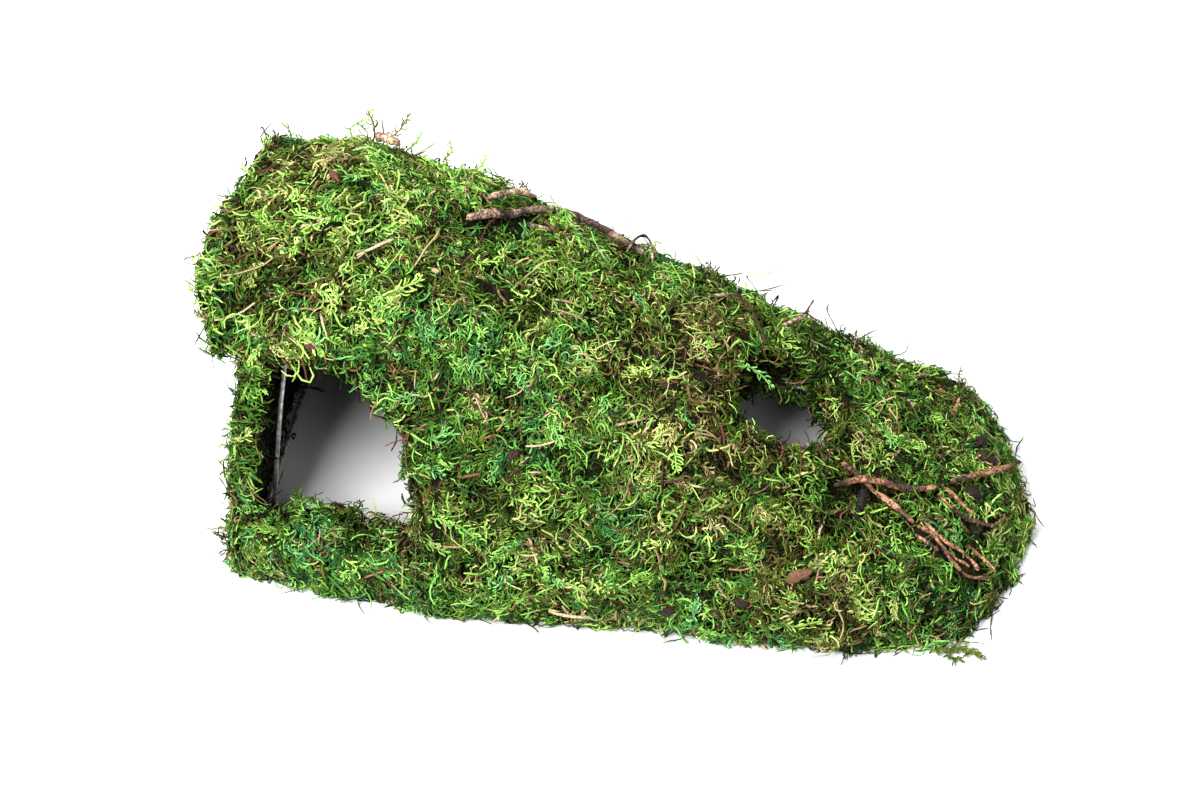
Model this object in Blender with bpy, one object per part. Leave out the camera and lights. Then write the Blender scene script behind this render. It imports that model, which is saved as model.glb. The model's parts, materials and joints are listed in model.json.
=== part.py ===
"""Moss-covered cave hide for a terrarium.

A half-log shell, open underneath. Thin steel wires carry pads of preserved sheet moss,
clear nylon thread binds the moss, and pieces of vine and twig are tied on top.
X runs along the length, from the tall open-cornered head at -X to the low nose at +X.
The front faces -Y and +Z is up. The origin is on the ground, under the middle of the object.
"""

import functools
import math

import bmesh
import bpy
import numpy as np

MM = 0.001

# The outer moss surface, in millimetres: x, front edge y, back edge y, height.
STATIONS = (
    (-157, -78, 82, 152),
    (-113, -82, 85, 155),
    (-68, -84, 87, 138),
    (-23, -82, 87, 113),
    (22, -79, 85, 94),
    (67, -78, 82, 73),
    (108, -76, 78, 48),
)
HEAD_X = STATIONS[0][0]
NOSE_X = STATIONS[-1][0]
NOSE_LENGTH = 64
SECTION_POWER = 2.5

# Thickness of the moss: the front wall and the roof, and the thinner back wall.
FRONT_DEPTH = 18
BACK_DEPTH = 13

# Clearance between neighbours, and what flat facets take off it inside a curve.
GAP = 0.3
FACET_ALLOWANCE = 0.8

WIRE_RADIUS = 1.0
THREAD_RADIUS = 0.25

# Depth below the moss of the two layers of wire: the long wires, and the ribs inside them.
STRINGER_CLEARANCE = WIRE_RADIUS + GAP + FACET_ALLOWANCE
RIB_CLEARANCE = STRINGER_CLEARANCE + 2 * WIRE_RADIUS + GAP + FACET_ALLOWANCE
BASE_WIRE_Z = 9
RIB_FOOT_Z = BASE_WIRE_Z + WIRE_RADIUS + 1.0

# Where the pads meet, as x along the body and t round the section from front to back.
POST_X = -147
JAMB_START_X = -106
JAMB_X = -66
HOLE_PAD_X = 24
ROLL_T = 0.095
SILL_TS = (0.082, 0.108)
POST_TS = (0.086, 0.091)
BROW_T = 0.304
ROOF_T = 0.45
BACK_T = 0.70
NOSE_SPLIT_ANGLE = 45

# How far the rolls along the ground bulge, and the spacing of a pad's rings and columns.
ROLL_SWELL = 3
STATION_STEP = 15
T_STEPS = 28

# The tall end tips inwards by this much for each unit of height.
END_LEAN = 0.09

# The front opening's free edge on the jamb, as x and z. The sill, post and brow close the rest.
OPENING_LEFT_X = -128
OPENING_Z = (20, 130)
OPENING_Y = (-130, -30)
JAMB_EDGE = ((-77, OPENING_Z[0]), (-76, 72), (-78, 92), (-86, 101), (-96, 107), (-107, 116))

# The roof hole, a cone that narrows downwards.
HOLE_CENTRE = (67, -3)
HOLE_TOP_RADII = (24, 27)
HOLE_BOTTOM_RADII = (19, 23)
HOLE_TOP_Z = 110
HOLE_BOTTOM_Z = 20

# The rim of the head roof: where it runs, how far it overhangs, most of all at its peak,
# and how far it stands above the roof.
LIP_T = (0.30, 0.88)
LIP_REACH = 2
LIP_PEAK_T = 0.40
LIP_PEAK_REACH = 12.7
LIP_PEAK_WIDTH = 0.065
LIP_RISE = 2

# The end wall's two faces at the ground, and the wires.
END_WALL_X = (-161, -151.4)
BASE_CROSS_X = -149
BASE_CORNER_RADIUS = 5
RIB_XS = (-143.5, -60, -13, 30, 98)
STRINGERS = (("ridge_wire", 0.60), ("front_stringer_wire", 0.33), ("back_stringer_wire", 0.78))
HOLE_RING_RADII = (25, 28)
NOSE_BOW_Z = 19
THREAD_XS = (-74, 14)

# Short thread ties at the nose, as x, t and the clear height under the thread.
NOSE_TIES = (
    ("nose_tie_thread_1", (
        (138, 0.322, 0.6), (136.5, 0.310, 4.2), (134, 0.292, 4.6), (131, 0.266, 4.6), (128.5, 0.240, 4.0),
        (126, 0.218, 0.6))),
    ("nose_tie_thread_2", ((160, 0.130, 0.6), (155, 0.118, 0.6), (150, 0.108, 0.6), (144, 0.098, 0.6))),
)

# Vine and twig pieces: name, radii at the two ends, and the way over the moss as
# x, t and the clear height under the piece.
TWIGS = (
    ("ridge_vine", 1.8, 1.2, (
        (-69, 0.517, 0.6), (-61, 0.546, 0.6), (-53, 0.558, 0.8), (-49, 0.588, 0.6), (-42, 0.624, 0.6),
        (-33, 0.660, 1.2), (-22, 0.654, 1.8), (-12, 0.650, 1.2), (-1, 0.634, 0.8))),
    ("ridge_vine_branch", 1.3, 0.9, (
        (-64, 0.568, 1.0), (-58, 0.585, 3.5), (-53, 0.605, 5.0), (-47, 0.622, 3.8))),
    ("ridge_vine_fork", 0.9, 0.7, (
        (-49, 0.556, 0.8), (-42, 0.571, 1.0), (-33, 0.583, 0.8), (-25, 0.586, 0.8))),
    ("ridge_tendril", 0.7, 0.5, (
        (-8, 0.618, 0.6), (-6, 0.644, 5.0), (-3, 0.663, 7.0), (1, 0.655, 5.5), (3, 0.623, 1.0))),
    ("head_twig_stub", 1.9, 1.7, ((-114, 0.612, 0.8), (-108, 0.600, 2.0), (-102, 0.585, 3.6))),
    ("back_ridge_twig", 0.9, 0.6, ((60, 0.63, 0.6), (64, 0.635, 5.0), (69, 0.64, 10.0))),
    ("back_ridge_sprig", 0.7, 0.5, ((30, 0.61, 0.6), (37, 0.62, 4.0), (44, 0.615, 7.0))),
    ("nose_sprig", 0.6, 0.5, ((132, 0.60, 0.6), (132.5, 0.605, 7.0), (131.5, 0.61, 14.0))),
    ("nose_twig_upper", 1.4, 1.0, (
        (91, 0.338, 0.8), (97, 0.354, 2.2), (102, 0.366, 5.0), (110, 0.379, 3.0), (119, 0.380, 1.0),
        (125, 0.384, 0.8), (131.5, 0.398, 0.8))),
    ("nose_twig_upper_fork", 0.8, 0.6, (
        (133.6, 0.403, 0.8), (136, 0.405, 0.8), (139, 0.392, 1.0), (143, 0.371, 0.8), (148, 0.352, 0.8))),
    ("nose_twig_low_fork", 0.8, 0.6, (
        (132.6, 0.384, 0.8), (138, 0.358, 0.8), (144, 0.336, 1.0), (149, 0.331, 1.2), (154, 0.327, 1.0),
        (158, 0.336, 1.2), (160, 0.372, 1.8))),
    ("nose_twig_tip", 0.9, 1.1, (
        (137, 0.426, 0.8), (144, 0.458, 1.2), (150, 0.496, 1.6), (156, 0.550, 3.0), (159, 0.600, 6.5))),
    ("nose_twig_lower", 1.2, 1.0, (
        (93, 0.392, 0.8), (98, 0.385, 0.6), (104, 0.372, 0.4), (108, 0.360, 0.6), (115, 0.341, 0.8),
        (121, 0.317, 0.8), (124.5, 0.305, 0.8))),
    ("nose_twig_strand_low", 0.7, 0.6, (
        (126, 0.279, 0.8), (131, 0.264, 0.8), (136, 0.248, 0.8))),
    ("nose_twig_strand_middle", 0.75, 0.6, (
        (126.4, 0.297, 0.8), (132, 0.287, 1.2), (135, 0.264, 2.6), (138, 0.246, 2.6), (141, 0.225, 1.4),
        (146, 0.196, 0.8), (150, 0.177, 0.8), (154, 0.171, 0.8), (158, 0.158, 0.8))),
    ("nose_twig_strand_high", 0.75, 0.6, (
        (126.8, 0.314, 0.8), (131, 0.302, 0.8), (135, 0.283, 0.8), (139, 0.266, 0.8), (145, 0.249, 0.8),
        (148, 0.233, 0.8), (151, 0.212, 0.8), (152.5, 0.194, 0.8))),
    ("nose_twig_strand_inner", 0.6, 0.5, (
        (139.5, 0.250, 0.8), (142, 0.236, 0.8), (143.5, 0.226, 0.8), (146.5, 0.220, 0.8), (149, 0.206, 0.8))),
    ("nose_twig_strand_outer", 0.65, 0.5, (
        (146.5, 0.260, 0.8), (149, 0.256, 0.8), (151.5, 0.241, 0.8), (155, 0.217, 0.8), (159, 0.184, 1.0))),
)


def station(x):
    """Front edge, back edge and height of the moss surface at x, on a smooth curve through STATIONS."""
    rows = np.array(STATIONS, float)
    xs = rows[:, 0]
    slopes = np.gradient(rows[:, 1:], xs, axis=0)
    i = int(np.clip(np.searchsorted(xs, x) - 1, 0, len(xs) - 2))
    width = xs[i + 1] - xs[i]
    u = (x - xs[i]) / width
    return (
        (2 * u**3 - 3 * u**2 + 1) * rows[i, 1:]
        + (u**3 - 2 * u**2 + u) * width * slopes[i]
        + (3 * u**2 - 2 * u**3) * rows[i + 1, 1:]
        + (u**3 - u**2) * width * slopes[i + 1]
    )


@functools.lru_cache(maxsize=None)
def section(x):
    """The arch at x: its length fractions, its points (y, z) and its outward normals."""
    front, back, height = station(x)
    middle, half = (front + back) / 2, (back - front) / 2
    angle = np.linspace(0, math.pi, 241)
    cos, sin = np.cos(angle), np.clip(np.sin(angle), 0, 1)
    y = middle - half * np.sign(cos) * np.abs(cos) ** (2 / SECTION_POWER)
    z = height * sin ** (2 / SECTION_POWER)
    points = np.stack([y, z], axis=1)
    steps = np.linalg.norm(np.diff(points, axis=0), axis=1)
    fractions = np.concatenate([[0], np.cumsum(steps)]) / steps.sum()
    normals = np.stack([(y - middle) / half, z / height], axis=1)
    normals = np.sign(normals) * np.abs(normals) ** (SECTION_POWER - 1) / [half, height]
    normals /= np.linalg.norm(normals, axis=1)[:, None]
    return fractions, points, normals


def girth(x):
    """Length of the arch at x."""
    points = section(x)[1]
    return np.linalg.norm(np.diff(points, axis=0), axis=1).sum()


def skin(x, t, depth=0.0):
    """A point depth millimetres under the outer surface, in metres.

    t runs from 0 at the front ground edge to 1 at the back one. Past NOSE_X, x is where the
    outer surface would be, and the whole arch shrinks towards the tip of a rounded nose.
    """
    body_x = min(x, NOSE_X)
    fractions, points, normals = section(body_x)
    y = np.interp(t, fractions, points[:, 0]) - depth * np.interp(t, fractions, normals[:, 0])
    z = np.interp(t, fractions, points[:, 1]) - depth * np.interp(t, fractions, normals[:, 1])
    if x <= NOSE_X:
        return np.array([x, y, z]) * MM
    angle = math.asin(min((x - NOSE_X) / NOSE_LENGTH, 1))
    front, back, _ = station(NOSE_X)
    middle = (front + back) / 2
    shrink = math.cos(angle)
    along = NOSE_X + (NOSE_LENGTH - depth) * math.sin(angle)
    return np.array([along, middle + (y - middle) * shrink, z * shrink]) * MM


def pad_depth(t):
    """Thickness of the moss at t, thinning from the ridge down the back wall."""
    return float(np.interp(t, [0, 0.5, 1], [FRONT_DEPTH, FRONT_DEPTH, BACK_DEPTH]))


def spread(start, end, step):
    """Even values from start to end, both included, about one step apart."""
    return np.linspace(start, end, max(2, round(abs(end - start) / step) + 1))


def nose_rings(start_angle, end_angle, count):
    """x of rings round the nose, evenly turned between two angles in degrees."""
    angles = np.radians(np.linspace(start_angle, end_angle, count))
    return NOSE_X + NOSE_LENGTH * np.sin(angles)


# Objects and materials


def clear_scene():
    for obj in list(bpy.data.objects):
        bpy.data.objects.remove(obj, do_unlink=True)


def principled(name, colour, roughness, metallic=0.0):
    """A new material with one plain Principled BSDF."""
    material = bpy.data.materials.new(name)
    material.use_nodes = True
    shader = material.node_tree.nodes["Principled BSDF"]
    shader.inputs["Base Color"].default_value = (*colour, 1)
    shader.inputs["Roughness"].default_value = roughness
    shader.inputs["Metallic"].default_value = metallic
    return material


def moss_material(name, colour):
    return principled(name, colour, roughness=0.95)


def steel_material():
    return principled("dark_steel", (0.10, 0.10, 0.11), roughness=0.35, metallic=1.0)


def nylon_material():
    return principled("clear_nylon", (0.75, 0.76, 0.74), roughness=0.25)


def bark_material(name, colour):
    return principled(name, colour, roughness=0.85)


def solid(name, verts, faces, material):
    """A closed mesh object with its faces turned outwards."""
    mesh = bpy.data.meshes.new(name)
    bm = bmesh.new()
    made = [bm.verts.new(v) for v in verts]
    for face in faces:
        bm.faces.new([made[i] for i in face])
    bmesh.ops.remove_doubles(bm, verts=bm.verts, dist=1e-6)
    bmesh.ops.recalc_face_normals(bm, faces=bm.faces)
    bm.to_mesh(mesh)
    bm.free()
    mesh.shade_smooth()
    mesh.set_sharp_from_angle(angle=math.radians(50))
    obj = bpy.data.objects.new(name, mesh)
    if material is not None:
        obj.data.materials.append(material)
    bpy.context.collection.objects.link(obj)
    return obj


def loft(name, rings, material):
    """A closed solid through rings of points, flat at both ends."""
    count = len(rings[0])
    verts = [point for ring in rings for point in ring]
    faces = [list(range(count)), list(range(len(verts) - count, len(verts)))]
    for i in range(len(rings) - 1):
        for j in range(count):
            k = (j + 1) % count
            faces.append([i * count + j, i * count + k, (i + 1) * count + k, (i + 1) * count + j])
    return solid(name, verts, faces, material)


def pad(name, xs, t0, t1, material, swell=0.0):
    """A moss pad: a patch of the shell between two sections and two lines along the body.

    Half the gap to each neighbour comes off every side that isn't the ground edge. t0 and t1 are
    one value or a pair, for the pad's two ends.
    """
    t0, t1 = (np.interp(xs, (xs[0], xs[-1]), np.broadcast_to(edge, 2)) for edge in (t0, t1))
    xs = [float(x) for x in xs]
    xs[0] += GAP / 2
    if xs[-1] < NOSE_X + NOSE_LENGTH:
        xs[-1] -= GAP / 2
    columns = max(3, round((t1[0] - t0[0]) * T_STEPS) + 1)
    verts = []
    for x, start, end in zip(xs, t0, t1):
        margin = GAP / 2 / girth(min(x, NOSE_X))
        low = start + margin if start > 0 else 0.0
        high = end - margin if end < 1 else 1.0
        for t in np.linspace(low, high, columns):
            bulge = swell * math.sin(math.pi * (t - low) / (high - low))
            verts += [skin(x, t, -bulge), skin(x, t, pad_depth(t))]
    row = 2 * columns
    faces = []
    for i in range(len(xs) - 1):
        for j in range(columns - 1):
            a = i * row + 2 * j
            faces += [[a, a + 2, a + row + 2, a + row], [a + 1, a + row + 1, a + row + 3, a + 3]]
    for a in (0, (len(xs) - 1) * row):
        faces += [[a + 2 * j, a + 2 * j + 1, a + 2 * j + 3, a + 2 * j + 2] for j in range(columns - 1)]
    for j in (0, row - 2):
        faces += [[i * row + j, i * row + j + 1, (i + 1) * row + j + 1, (i + 1) * row + j]
                  for i in range(len(xs) - 1)]
    return solid(name, verts, faces, material)


def cut(obj, cutter):
    """Takes a hidden cutter out of an object."""
    modifier = obj.modifiers.new("opening", "BOOLEAN")
    modifier.operation = "DIFFERENCE"
    modifier.object = cutter
    cutter.hide_render = True
    cutter.display_type = "WIRE"


def rod(name, points, radii, material, cyclic=False):
    """A round rod along points in metres. radii in millimetres, one value or one per point."""
    curve = bpy.data.curves.new(name, "CURVE")
    curve.dimensions = "3D"
    curve.bevel_depth = MM
    curve.bevel_resolution = 2
    curve.use_fill_caps = not cyclic
    spline = curve.splines.new("POLY")
    spline.points.add(len(points) - 1)
    spline.use_cyclic_u = cyclic
    for i, (slot, point) in enumerate(zip(spline.points, points)):
        slot.co = (*point, 1)
        slot.radius = radii if np.isscalar(radii) else radii[i]
    obj = bpy.data.objects.new(name, curve)
    obj.data.materials.append(material)
    bpy.context.collection.objects.link(obj)
    return obj


# Moss


def lean(obj):
    """Tips a mesh of the tall end inwards, towards +X as it rises."""
    for vertex in obj.data.vertices:
        vertex.co.x += END_LEAN * vertex.co.z


def end_wall(material):
    """The plate of moss that closes the tall end, inside the arch of the shell."""
    ts = np.linspace(0, 1, T_STEPS + 1)
    outline = [skin(HEAD_X, t, pad_depth(t) + 2 * GAP) for t in ts]
    rings = [[(x * MM, y, z) for _, y, z in outline] for x in END_WALL_X]
    lean(loft("moss_end_wall", rings, material))


def head_lip(material):
    """The thick rounded rim of the head roof, overhanging the end wall."""
    rings = []
    for t in np.linspace(*LIP_T, 19):
        middle = (pad_depth(t) - 1 - LIP_RISE) / 2
        half = (pad_depth(t) - 1 + LIP_RISE) / 2
        reach = LIP_REACH + LIP_PEAK_REACH * math.exp(-(((t - LIP_PEAK_T) / LIP_PEAK_WIDTH) ** 2))
        ring = []
        for angle in np.linspace(-math.pi / 2, math.pi / 2, 9):
            point = skin(HEAD_X, t, middle + half * math.sin(angle))
            point[0] -= reach * MM * math.cos(angle) + GAP * MM
            ring.append(point)
        rings.append(ring)
    return loft("moss_head_lip", rings, material)


def opening_cutter():
    """A prism through the front wall, with the jamb's free edge on its right."""
    outline = [(OPENING_LEFT_X, OPENING_Z[0]), *JAMB_EDGE, (OPENING_LEFT_X, OPENING_Z[1])]
    rings = [[(x * MM, y * MM, z * MM) for x, z in outline] for y in OPENING_Y]
    return loft("opening_cutter", rings, None)


def hole_cutter():
    """A cone down through the roof."""
    levels = ((HOLE_BOTTOM_Z, HOLE_BOTTOM_RADII), (HOLE_TOP_Z, HOLE_TOP_RADII))
    rings = [[(x * MM, y * MM, z * MM) for x, y in ellipse(HOLE_CENTRE, radii, 20)] for z, radii in levels]
    return loft("hole_cutter", rings, None)


def ellipse(centre, radii, count):
    """Points (x, y) round an ellipse, in millimetres."""
    turns = np.linspace(0, 2 * math.pi, count, endpoint=False)
    return [(centre[0] + radii[0] * math.cos(a), centre[1] + radii[1] * math.sin(a)) for a in turns]


def make_moss():
    fresh = moss_material("moss_fresh", (0.10, 0.24, 0.03))
    olive = moss_material("moss_olive", (0.15, 0.20, 0.04))
    brown = moss_material("moss_brown", (0.13, 0.13, 0.05))
    teal = moss_material("moss_teal", (0.05, 0.20, 0.08))
    head = spread(HEAD_X, JAMB_X, STATION_STEP)
    middle = spread(JAMB_X, HOLE_PAD_X, STATION_STEP)
    hole = spread(HOLE_PAD_X, NOSE_X, STATION_STEP)
    nose = nose_rings(0, NOSE_SPLIT_ANGLE, 4)
    tip = nose_rings(NOSE_SPLIT_ANGLE, 90, 5)

    end_wall(brown)
    head_lip(fresh)
    post = pad("moss_front_post", spread(HEAD_X, POST_X, STATION_STEP), POST_TS, BROW_T, olive)
    lean(post)
    pad("moss_sill", head, 0, SILL_TS, teal, ROLL_SWELL)
    pad("moss_brow", head, BROW_T, ROOF_T, fresh)
    pad("moss_head_roof", head, ROOF_T, BACK_T, fresh)
    pad("moss_head_back", head, BACK_T, 1, olive)
    jamb = pad("moss_opening_jamb", spread(JAMB_START_X, JAMB_X, STATION_STEP), SILL_TS[1], BROW_T, olive)
    cut(jamb, opening_cutter())

    pad("moss_front_base_roll", np.append(middle, hole[1:]), 0, ROLL_T, teal, ROLL_SWELL)
    pad("moss_front_wall", middle, ROLL_T, ROOF_T, fresh)
    pad("moss_middle_roof", middle, ROOF_T, BACK_T, fresh)
    pad("moss_back_wall", middle, BACK_T, 1, olive)

    cutter = hole_cutter()
    cut(pad("moss_hole_front", hole, ROLL_T, ROOF_T, brown), cutter)
    cut(pad("moss_hole_back", hole, ROOF_T, BACK_T, olive), cutter)
    pad("moss_back_wall_low", hole, BACK_T, 1, olive)

    pad("moss_nose_front", nose, 0, 0.5, fresh)
    pad("moss_nose_back", nose, 0.5, 1, olive)
    pad("moss_nose_tip", tip, 0, 1, fresh)


# Wire frame


def ring_y(x):
    """Where the base ring runs along the front and the back at x."""
    front, back, _ = station(x)
    return front + FRONT_DEPTH + RIB_CLEARANCE, back - BACK_DEPTH - RIB_CLEARANCE


def nose_curve(scale, count):
    """Points (x, y) round the nose from front to back, at a share of the base ring's size there."""
    front, back = ring_y(NOSE_X)
    middle, half = (front + back) / 2, (back - front) / 2
    reach = NOSE_LENGTH - FRONT_DEPTH - RIB_CLEARANCE
    turns = np.linspace(-math.pi / 2, math.pi / 2, count)
    return [(NOSE_X + scale * reach * math.cos(a), middle + scale * half * math.sin(a)) for a in turns]


def base_ring(material):
    radius = BASE_CORNER_RADIUS
    corner_x = BASE_CROSS_X + radius
    front, back = ring_y(corner_x)
    bends = [math.radians(angle) for angle in (0, 22.5, 45, 67.5, 90)]
    path = [(corner_x - radius * math.cos(a), front + radius - radius * math.sin(a)) for a in bends]
    sides = spread(corner_x, NOSE_X, 20)[1:-1]
    path += [(x, ring_y(x)[0]) for x in sides]
    path += nose_curve(1, 13)
    path += [(x, ring_y(x)[1]) for x in sides[::-1]]
    path += [(corner_x - radius * math.sin(a), back - radius + radius * math.cos(a)) for a in bends]
    points = [(x * MM, y * MM, BASE_WIRE_Z * MM) for x, y in path]
    rod("base_ring_wire", points, WIRE_RADIUS, material, cyclic=True)


def arch(x):
    """Points of a rib over the inside of the moss at x, from just above the base ring at each side."""
    sides = (np.linspace(0, 0.3, 61), np.linspace(1, 0.7, 61))
    feet = []
    for ts in sides:
        heights = [skin(x, t, pad_depth(t) + RIB_CLEARANCE)[2] / MM for t in ts]
        feet.append(np.interp(RIB_FOOT_Z, heights, ts))
    return [skin(x, t, pad_depth(t) + RIB_CLEARANCE) for t in np.linspace(*feet, 21)]


def nose_bow(material):
    """The wire round the nose, with its ends against the last rib."""
    height = skin(NOSE_X, 0.5, FRONT_DEPTH + RIB_CLEARANCE)[2] / MM
    scale = (1 - (NOSE_BOW_Z / height) ** SECTION_POWER) ** (1 / SECTION_POWER)
    points = [(x * MM, y * MM, NOSE_BOW_Z * MM) for x, y in nose_curve(scale, 15)]
    rod("nose_bow_wire", points, WIRE_RADIUS, material)


def hole_ring(material):
    points = []
    for x, y in ellipse(HOLE_CENTRE, HOLE_RING_RADII, 24):
        fractions, outline, _ = section(x)
        t = np.interp(y, outline[:, 0], fractions)
        points.append(skin(x, t, pad_depth(t) + RIB_CLEARANCE))
    rod("hole_ring_wire", points, WIRE_RADIUS, material, cyclic=True)


def make_frame():
    steel = steel_material()
    base_ring(steel)
    names = ["end_hoop_wire"] + [f"rib_wire_{i}" for i in range(1, len(RIB_XS))]
    for name, x in zip(names, RIB_XS):
        points = arch(x)
        if name == "end_hoop_wire":
            points = [(px + END_LEAN * pz, py, pz) for px, py, pz in points]
        rod(name, points, WIRE_RADIUS, steel)
    for name, t in STRINGERS:
        hoop_height = skin(RIB_XS[0], t, pad_depth(t))[2] / MM
        ends = (RIB_XS[0] + END_LEAN * hoop_height, RIB_XS[-1] + 3)
        points = [skin(x, t, pad_depth(t) + STRINGER_CLEARANCE) for x in spread(*ends, 14)]
        rod(name, points, WIRE_RADIUS, steel)
    hole_ring(steel)
    nose_bow(steel)


# Bindings, vine and twigs


def make_threads():
    nylon = nylon_material()
    clear = THREAD_RADIUS + 2 * GAP
    for number, x in enumerate(THREAD_XS, 1):
        points = []
        for t in np.linspace(0.012, 0.985, 31):
            bulge = ROLL_SWELL * math.sin(math.pi * t / ROLL_T) if t < ROLL_T else 0
            points.append(skin(x, t, -clear - bulge))
        rod(f"binding_thread_{number}", points, THREAD_RADIUS, nylon)
    for name, way in NOSE_TIES:
        points = [skin(x, t, -lift - THREAD_RADIUS) for x, t, lift in way]
        rod(name, points, THREAD_RADIUS, nylon)


def make_twigs():
    bark = bark_material("vine_bark", (0.22, 0.13, 0.08))
    for name, first, last, way in TWIGS:
        radii = np.linspace(first, last, len(way))
        points = [skin(x, t, -lift - radius) for (x, t, lift), radius in zip(way, radii)]
        rod(name, points, radii, bark)


clear_scene()
make_moss()
make_frame()
make_threads()
make_twigs()
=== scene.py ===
"""Looks of the moss-covered cave hide: mats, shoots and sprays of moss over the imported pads,
rough vine and twigs, plain steel wire, clear thread, and the small litter that comes with moss.
Everything is in metres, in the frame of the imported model. The front faces -Y, the head is at -X."""

import itertools
import json
import math

import bmesh
import bpy
import numpy as np
from mathutils import Euler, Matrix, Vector
from mathutils.bvhtree import BVHTree


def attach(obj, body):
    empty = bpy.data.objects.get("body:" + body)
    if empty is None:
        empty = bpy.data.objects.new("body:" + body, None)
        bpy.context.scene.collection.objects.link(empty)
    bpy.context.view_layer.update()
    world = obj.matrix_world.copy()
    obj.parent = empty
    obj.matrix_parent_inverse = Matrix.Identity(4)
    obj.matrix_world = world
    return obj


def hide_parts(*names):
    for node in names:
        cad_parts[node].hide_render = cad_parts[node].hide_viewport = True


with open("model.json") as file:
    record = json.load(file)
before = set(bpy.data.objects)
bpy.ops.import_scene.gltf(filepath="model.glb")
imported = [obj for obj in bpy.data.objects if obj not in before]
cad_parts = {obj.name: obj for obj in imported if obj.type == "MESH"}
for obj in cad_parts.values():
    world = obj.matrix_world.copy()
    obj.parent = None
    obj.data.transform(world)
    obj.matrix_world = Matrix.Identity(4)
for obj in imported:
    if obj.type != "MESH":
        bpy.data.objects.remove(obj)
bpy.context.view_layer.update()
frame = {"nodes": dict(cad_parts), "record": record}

MM = 0.001

# Camera: the view's azimuth and elevation in degrees, its aim, and the width of the view there.
VIEW_AZIMUTH, VIEW_ELEVATION = 10, 46
VIEW_AIM = Vector((-12.7, 2.6, 50)) * MM
VIEW_WIDTH = 0.5066
LENS, SENSOR = 100, 36

# Moss: its lumps over the CAD surface and the depth of the dark mat under it, in millimetres.
LUMP_SIZE, LUMP_HEIGHT, LUMP_LEVEL = 28, 7.0, 0.62
TUFT_SIZE, TUFT_HEIGHT, TUFT_LEVEL = 9, 4.4, 0.6
MAT_DEPTH = 2.4
MAT_VOXEL = 2.4

# Shoots and sprays for each square millimetre of open surface.
UNDER_DENSITY = 0.20
SHOOT_DENSITY = 0.40
SPRAY_DENSITY = 0.012
INNER_SHARE = 0.25
# Moss keeps this far from vine, twigs and bare wires, in millimetres.
BARE_REACH = 2.6

# The finish of each CAD node, and the nodes of each kind.
FINISHES = {part["node"]: part["material_slot"] for part in frame["record"]["subparts"]}
PADS = sorted(name for name in FINISHES if name.startswith("moss_"))
WOOD = sorted(name for name, slot in FINISHES.items() if slot == "vine_bark")
WIRES = sorted(name for name, slot in FINISHES.items() if slot == "steel_wire")
RING = "hole_ring_wire"
THREADS = sorted(name for name, slot in FINISHES.items() if slot == "nylon_thread")


# Noise


LATTICE_SIDE = 32
LATTICE = np.random.default_rng(7).random((LATTICE_SIDE,) * 3)
# Turns the lattice away from the model's own axes, so no rows of lumps show.
TURN = np.array(Euler((0.7, 0.5, 1.1)).to_matrix())
# How far apart the layers lie, and how ragged the borders of cells are as a share of their size.
NOISE_STEP, CELL_STEP, CELL_RAGGED = 11.3, 7.7, 0.22
# One layer for each use of the noise. Vine, twigs and chips count on from theirs.
LUMP_LAYER, HEADING_LAYER, HUE_LAYER, HUE_CELL_LAYER, GRAIN_LAYER = 1, 2, 3, 4, 5
TUFT_LAYER, DEAD_LAYER, TONE_CELL_LAYER = 6, 7, 8
KNOB_LAYER, RIDGE_LAYER, BARK_TONE_LAYER, CHIP_LAYER, CHIP_GRAIN_LAYER = 10, 40, 60, 70, 90


def noise(points, size, layer=0):
    """Smooth noise from 0 to 1 at points in metres, with lumps size millimetres across."""
    scaled = np.asarray(points) @ TURN / (size * MM) + NOISE_STEP * layer
    cell = np.floor(scaled).astype(int)
    u = scaled - cell
    u = u * u * (3 - 2 * u)
    total = 0
    for corner in itertools.product((0, 1), repeat=3):
        weight = np.prod(np.where(corner, u, 1 - u), axis=-1)
        i, j, k = np.moveaxis((cell + corner) % LATTICE_SIDE, -1, 0)
        total = total + weight * LATTICE[i, j, k]
    return total


def unit(vectors):
    return vectors / np.maximum(np.linalg.norm(vectors, axis=-1, keepdims=True), 1e-12)


def lump(points):
    """Height of the moss's own lumps and tufts over the CAD surface, in metres."""
    broad = (noise(points, LUMP_SIZE, LUMP_LAYER) - LUMP_LEVEL) * LUMP_HEIGHT
    return (broad + (noise(points, TUFT_SIZE, TUFT_LAYER) - TUFT_LEVEL) * TUFT_HEIGHT) * MM


def lifted(points, normals, height):
    """Points of the CAD surface moved to height millimetres over the lumps of the moss."""
    return points + normals * (lump(points) + height * MM)[:, None]


def cells(points, size, layer, rng):
    """One chance value from 0 to 1 for each small cell of space, with ragged cell borders."""
    loose = np.asarray(points) + rng.normal(0, CELL_RAGGED * size * MM, np.shape(points))
    cell = np.floor(loose @ TURN / (size * MM) + CELL_STEP * layer).astype(int) % LATTICE_SIDE
    return LATTICE[cell[:, 0], cell[:, 1], cell[:, 2]]


# Materials


def new_material(name, roughness, specular=0.5, metallic=0.0):
    material = bpy.data.materials.new(name)
    material.use_nodes = True
    shader = material.node_tree.nodes["Principled BSDF"]
    shader.inputs["Roughness"].default_value = roughness
    shader.inputs["Specular IOR Level"].default_value = specular
    shader.inputs["Metallic"].default_value = metallic
    return material, material.node_tree, shader


def ramp(tree, factor, stops):
    """A colour ramp read at a factor socket. stops are (position, colour)."""
    node = tree.nodes.new("ShaderNodeValToRGB")
    elements = node.color_ramp.elements
    while len(elements) < len(stops):
        elements.new(0.5)
    for element, (position, colour) in zip(elements, stops):
        element.position = position
        element.color = (*colour, 1)
    tree.links.new(factor, node.inputs["Fac"])
    return node.outputs["Color"]


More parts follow.
